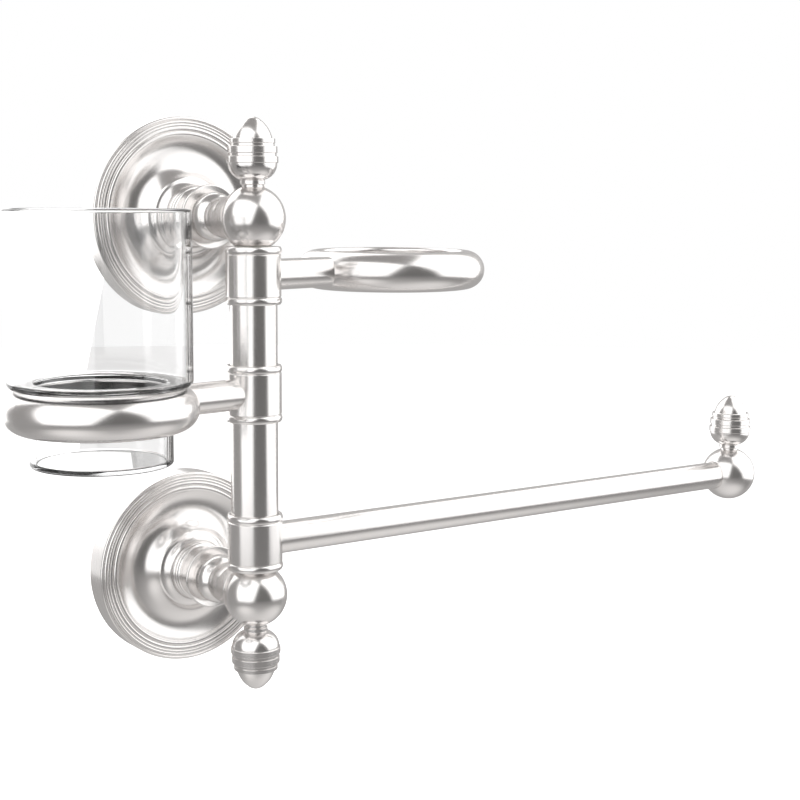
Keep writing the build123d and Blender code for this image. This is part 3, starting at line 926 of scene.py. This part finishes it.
def neck_outline():
    """Ribs, drum, bulb, stem and collet, as distance out from the wall."""
    seat_h = POST_OUT - seat(BALL_R, NECK_SEAT_R)
    r, h = NOSE_R - BREAK, NOSE_H
    moves = [(r, h)]
    for _ in range(RIBS):
        moves.append((r + RIB_OUT, h + RIB_H / 2, r, h + RIB_H))
        h += RIB_H + RIB_LAND
        r -= RIB_TAPER
        moves.append((r, h))
    root = BULB_R - BULB_ROOT
    lip = DRUM_LIP_R - LIP_IN
    bulge = DRUM_LIP_H + (BULB_END_H - DRUM_LIP_H) * BULB_WIDEST
    moves += [
        (DRUM_BACK_R, h + DRUM_RISE),
        (DRUM_BACK_R + DRUM_BELLY, (h + DRUM_LIP_H) / 2, DRUM_LIP_R, DRUM_LIP_H),
        (DRUM_LIP_R - LIP_BREAK[0], DRUM_LIP_H + LIP_BREAK[1], lip, DRUM_LIP_H + LIP_IN),
        (root, DRUM_LIP_H + BULB_ROOT_H),
        (BULB_R, bulge, BULB_END_R, BULB_END_H),
        (STEM_R, BULB_END_H + STEM_RISE),
        (STEM_R + STEM_BELLY, (BULB_END_H + STEM_END_H) / 2, STEM_R, STEM_END_H),
        (STEM_R - GROOVE, STEM_END_H + COLLET_GROOVE_H),
        (COLLET_R - BREAK, STEM_END_H + COLLET_H),
        (COLLET_R, STEM_END_H + COLLET_H + BREAK),
        (COLLET_R, seat_h - COLLET_SLOPE),
        (NECK_SEAT_R, seat_h),
        (BORE_R, seat_h),
        (BORE_R, NOSE_H),
    ]
    return outline((BORE_R, NOSE_H), *moves)


necks = bake(
    "necks",
    neck_outline(),
    (
        (
            LATHE,
            {
                "Segments": NECK_SEGMENTS,
                "Turn": ON_WALL,
                "Count": 2,
                "Step": UP_A_FLANGE,
                "Finish": NICKEL,
            },
        ),
    ),
)
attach(necks, "post")
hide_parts("lower_neck", "upper_neck")

# %% [markdown]
# ## Finials
#
# An acorn closes each end of the post and the end of the bar: a stem, a neck
# disc, a bowl, five stepped bands and a pointed cap. The lower one is the
# same piece upside down, so the tree turns it half round.

# %% Finials
FINIAL_SEAT_R = 4.5
STEM_NECK_R, STEM_NECK_H = 4.1, 0.9
FINIAL_NECK_R, FINIAL_NECK_H = 4.9, 2.9
BOWL_R, BOWL_H, BOWL_SWELL = 9.7, 6.6, (0.66, 0.3)
BANDS = ((10.15, 2.5), (9.45, 1.3), (9.8, 2.6), (8.75, 1.25), (8.95, 1.75))
BAND_ROUND = 0.18
TIP_R, TIP_H, TIP_SWELL, TIP_ROUND, TIP_TURN = 7.85, 8.5, 0.78, 5.0, radians(45.0)
THREAD_R, THREAD_IN = 3.0, 8.0
FINIAL_SEGMENTS = 128


def finial_outline():
    """Acorn from its seat up to its point, with the tapped hole below."""
    low = FINIAL_NECK_H
    rim = FINIAL_NECK_R - BREAK
    moves = [
        (THREAD_R, THREAD_IN),
        (THREAD_R, 0.0),
        (STEM_NECK_R, 0.0),
        (STEM_NECK_R, STEM_NECK_H),
        (FINIAL_NECK_R, STEM_NECK_H + BREAK),
        (FINIAL_NECK_R, low - BREAK),
        (rim, low),
        (
            rim + BOWL_SWELL[0] * (BOWL_R - rim),
            low + BOWL_SWELL[1] * BOWL_H,
            BOWL_R,
            low + BOWL_H,
        ),
    ]
    z = low + BOWL_H
    for radius, height in BANDS:
        edge = min(BAND_ROUND, height / 3)
        turn = edge * (1 - sqrt(0.5))
        moves += [
            (radius - edge, z),
            (radius - turn, z + turn, radius, z + edge),
            (radius, z + height - edge),
            (radius - turn, z + height - turn, radius - edge, z + height),
        ]
        z += height
    tip = z + TIP_H
    cap, middle = (
        (TIP_ROUND * sin(a), tip - TIP_ROUND * (1 - cos(a))) for a in (TIP_TURN, TIP_TURN / 2)
    )
    moves += [
        (TIP_R, z),
        (TIP_R * TIP_SWELL, z + TIP_H / 2, *cap),
        (*middle, 0.0, tip),
    ]
    return outline((0.0, THREAD_IN), *moves)


# %% Place the finials
FINIAL_SEAT = seat(BALL_R, FINIAL_SEAT_R)
COLLAR_SEAT_R, WASHER_GAP, COLLAR_H = 7.4, 0.35, 22.8
BAR_Z, TUMBLER_Z = seat(BALL_R, COLLAR_SEAT_R) + WASHER_GAP + COLLAR_H / 2, 83.0
BAR_REACH = 275.8

for name, body, reach, height, turn in (
    ("upper_finial", "post", 0.0, BALL_SPACING + FINIAL_SEAT, 0.0),
    ("lower_finial", "post", 0.0, -FINIAL_SEAT, pi),
    ("end_finial", "towel_bar_swivel", BAR_REACH, BAR_Z + FINIAL_SEAT, 0.0),
):
    acorn = bake(
        name + "_turned",
        finial_outline(),
        (
            (
                LATHE,
                {
                    "Segments": FINIAL_SEGMENTS,
                    "Turn": (turn, 0.0, 0.0),
                    "Place": (reach * MM, -POST_OUT * MM, height * MM),
                    "Count": 1,
                    "Finish": NICKEL,
                },
            ),
        ),
    )
    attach(acorn, body)
    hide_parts(name)

# %% [markdown]
# ## Swivel collars
#
# Each arm screws into a collar that turns on the post's rod. A collar is a
# short barrel with a rounded bead at either end, set off by a fine groove,
# and its ends are recessed for the spacer tubes and washers.

# %% Collars
COLLAR_R = 11.1
COLLAR_SEGMENTS = 160
BEAD_H, BEAD_OUT = 2.9, 0.25
COLLAR_BORE_R = 4.05
TUBE_RECESS = (9.825, 1.4)
WASHER_RECESS = (7.5, 0.55)


def collar_outline(top, bottom):
    """Barrel, grooves and beads; top and bottom are (radius, depth) recesses."""
    half = COLLAR_H / 2
    shoulder = half - BEAD_H
    rim = COLLAR_R - BREAK
    crown = half - BEAD_H / 2
    return outline(
        (COLLAR_BORE_R, bottom[1] - half),
        (bottom[0], bottom[1] - half),
        (bottom[0], -half),
        (rim, -half),
        (COLLAR_R + BEAD_OUT, -crown, COLLAR_R, -shoulder - GROOVE),
        (COLLAR_R - GROOVE, -shoulder),
        (COLLAR_R, -shoulder + GROOVE),
        (COLLAR_R, shoulder - GROOVE),
        (COLLAR_R - GROOVE, shoulder),
        (COLLAR_R, shoulder + GROOVE),
        (COLLAR_R + BEAD_OUT, crown, rim, half),
        (top[0], half),
        (top[0], half - top[1]),
        (COLLAR_BORE_R, half - top[1]),
        (COLLAR_BORE_R, bottom[1] - half),
    )


for name, body, height, top, bottom in (
    ("dryer_collar", "dryer_swivel", BALL_SPACING - BAR_Z, WASHER_RECESS, TUBE_RECESS),
    ("tumbler_collar", "tumbler_swivel", TUMBLER_Z, TUBE_RECESS, TUBE_RECESS),
    ("bar_collar", "towel_bar_swivel", BAR_Z, TUBE_RECESS, WASHER_RECESS),
):
    barrel = bake(
        name + "_turned",
        collar_outline(top, bottom),
        (
            (
                LATHE,
                {
                    "Segments": COLLAR_SEGMENTS,
                    "Place": (0.0, -POST_OUT * MM, height * MM),
                    "Count": 1,
                    "Finish": NICKEL,
                },
            ),
        ),
    )
    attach(barrel, body)
    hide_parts(name)

# %% [markdown]
# ## The tumbler
#
# The tumbler is blown into a mould, so its wall keeps an even thickness from
# the rim, round the shoulder that rests on the ring, to the foot, and only the
# base is thinner. The outside corners are soft and the inside ones tight.
# Glass shows every facet through its own refraction, so this outline is turned
# with the finest division. Its outside touches nothing: the shoulder hovers a
# hair above the ring.

# %% Tumbler
FOOT_R, FOOT_H, CUP_R, CUP_H = 26.4, 29.0, 34.1, 65.2
GLASS_WALL, BASE_T = 2.2, 1.4
FOOT_ROUND, STEP_ROUND, CUP_ROUND = 1.0, 0.6, 2.3
MOUTH_ROUND, INNER_ROUND, WELL_ROUND = 0.6, 0.5, 0.8
RING_HALF, SEAT_GAP = 8.2, 0.05
TUMBLER_REACH, TUMBLER_ANGLE = 70.9, radians(187.7)
GLASS_SEGMENTS = 320


def tumbler_outline():
    """Foot, shoulder, wall and rim outside, then back down the inside."""
    k = 1 - sqrt(0.5)
    foot_in, cup_in = FOOT_R - GLASS_WALL, CUP_R - GLASS_WALL
    rim = GLASS_WALL / 2
    well = BASE_T - FOOT_H
    f, s, c = FOOT_ROUND, STEP_ROUND, CUP_ROUND
    m, i, w = MOUTH_ROUND, INNER_ROUND, WELL_ROUND
    floor_h = GLASS_WALL
    return outline(
        (0.0, -FOOT_H),
        (FOOT_R - f, -FOOT_H),
        (FOOT_R - f * k, f * k - FOOT_H, FOOT_R, f - FOOT_H),
        (FOOT_R, -s),
        (FOOT_R + s * k, -s * k, FOOT_R + s, 0.0),
        (CUP_R - c, 0.0),
        (CUP_R - c * k, c * k, CUP_R, c),
        (CUP_R, CUP_H - rim),
        (CUP_R - rim, CUP_H, cup_in, CUP_H - rim),
        (cup_in, floor_h + i),
        (cup_in - i * k, floor_h + i * k, cup_in - i, floor_h),
        (foot_in + m, floor_h),
        (foot_in + m * k, floor_h - m * k, foot_in, floor_h - m),
        (foot_in, well + w),
        (foot_in - w * k, well + w * k, foot_in - w, well),
        (0.0, well),
    )


tumbler = bake(
    "tumbler_blown",
    tumbler_outline(),
    (
        (
            LATHE,
            {
                "Segments": GLASS_SEGMENTS,
                "Place": (
                    TUMBLER_REACH * cos(TUMBLER_ANGLE) * MM,
                    (TUMBLER_REACH * sin(TUMBLER_ANGLE) - POST_OUT) * MM,
                    (TUMBLER_Z + RING_HALF + SEAT_GAP) * MM,
                ),
                "Count": 1,
                "Finish": GLASS,
            },
        ),
    ),
)
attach(tumbler, "tumbler")
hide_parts("glass_tumbler")
